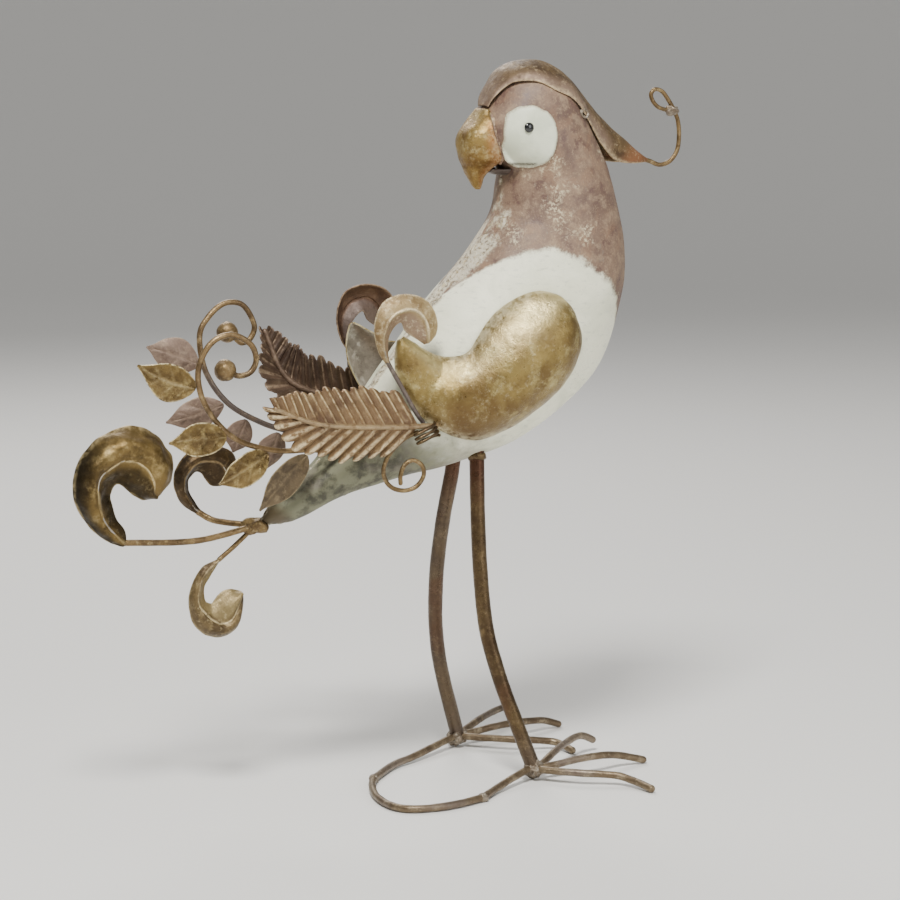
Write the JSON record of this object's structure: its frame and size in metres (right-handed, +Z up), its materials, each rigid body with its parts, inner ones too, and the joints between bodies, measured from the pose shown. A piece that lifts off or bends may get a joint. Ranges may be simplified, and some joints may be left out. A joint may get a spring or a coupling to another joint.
{
  "type": "ornamental garden bird",
  "caption": "Free-standing garden bird of welded sheet metal and wire, painted and gilded, on rod legs with wire feet, looking back over a tail of curled plumes, ferns and leafy twigs.",
  "frame": {"origin": "on the ground plane, at the centre of the object's box; the body's middle plane is Y = 0", "axes": "+X the way the toes and breast point, +Y the bird's left, +Z up"},
  "size_m": [0.4409, 0.2267, 0.4785],
  "materials": {
    "body_paint": "matt chalky paint, dusty mauve on the head and neck and cream on the body, with worn gold along the seam",
    "crest_bronze": "brown bronze paint, scuffed paler along the rims",
    "eye_white": "satin off-white paint",
    "pupil_black": "gloss black paint",
    "wing_gold": "antique gold leaf over brown, worn and mottled",
    "fern_bronze": "coppery gold paint, paler on the raised ribs",
    "left_bronze": "dark brown bronze paint, dusty",
    "wire_bronze": "bronze paint with gold highlights and coppery patches"
  },
  "bodies": {
    "root": {"ankle_weld_left": "wire_bronze", "ankle_weld_right": "wire_bronze", "beak_lower": "crest_bronze", "beak_upper": "wing_gold", "body_shell_left": "body_paint", "body_shell_right": "body_paint", "crest_cap": "crest_bronze", "crest_knot": "wire_bronze", "crest_wire": "wire_bronze", "curl_wire_left": "left_bronze", "curl_wire_right": "fern_bronze", "eye_disc_left": "eye_white", "eye_disc_right": "eye_white", "fern_binding_left": "wire_bronze", "fern_binding_right": "wire_bronze", "fern_left": "left_bronze", "fern_midrib_left": "left_bronze", "fern_midrib_right": "fern_bronze", "fern_right": "fern_bronze", "heel_bar_left": "wire_bronze", "heel_bar_right": "wire_bronze", "heel_loop": "wire_bronze", "hip_weld_left": "wire_bronze", "hip_weld_right": "wire_bronze", "leaf_left_lower": "left_bronze", "leaf_left_middle": "left_bronze", "leaf_left_tail": "left_bronze", "leaf_left_upper": "left_bronze", "leaf_right_lower": "wing_gold", "leaf_right_middle": "wing_gold", "leaf_right_tail": "wing_gold", "leaf_right_upper": "wing_gold", "leg_left": "wire_bronze", "leg_right": "wire_bronze", "plume_large": "wing_gold", "plume_middle": "fern_bronze", "plume_small": "wing_gold", "plume_stem_large": "wire_bronze", "plume_stem_middle": "wire_bronze", "plume_stem_small": "wire_bronze", "pupil_left": "pupil_black", "pupil_right": "pupil_black", "scroll_left": "left_bronze", "scroll_right": "fern_bronze", "scroll_stem_left": "left_bronze", "scroll_stem_right": "fern_bronze", "seam_weld": "body_paint", "tail_weld": "wire_bronze", "toe_inner_left": "wire_bronze", "toe_inner_right": "wire_bronze", "toe_middle_left": "wire_bronze", "toe_middle_right": "wire_bronze", "toe_outer_left": "wire_bronze", "toe_outer_right": "wire_bronze", "twig_ball_left": "left_bronze", "twig_ball_right": "wire_bronze", "twig_left": "left_bronze", "twig_right": "wire_bronze", "wing_left": "left_bronze", "wing_right": "wing_gold"}
  },
  "joints": []
}
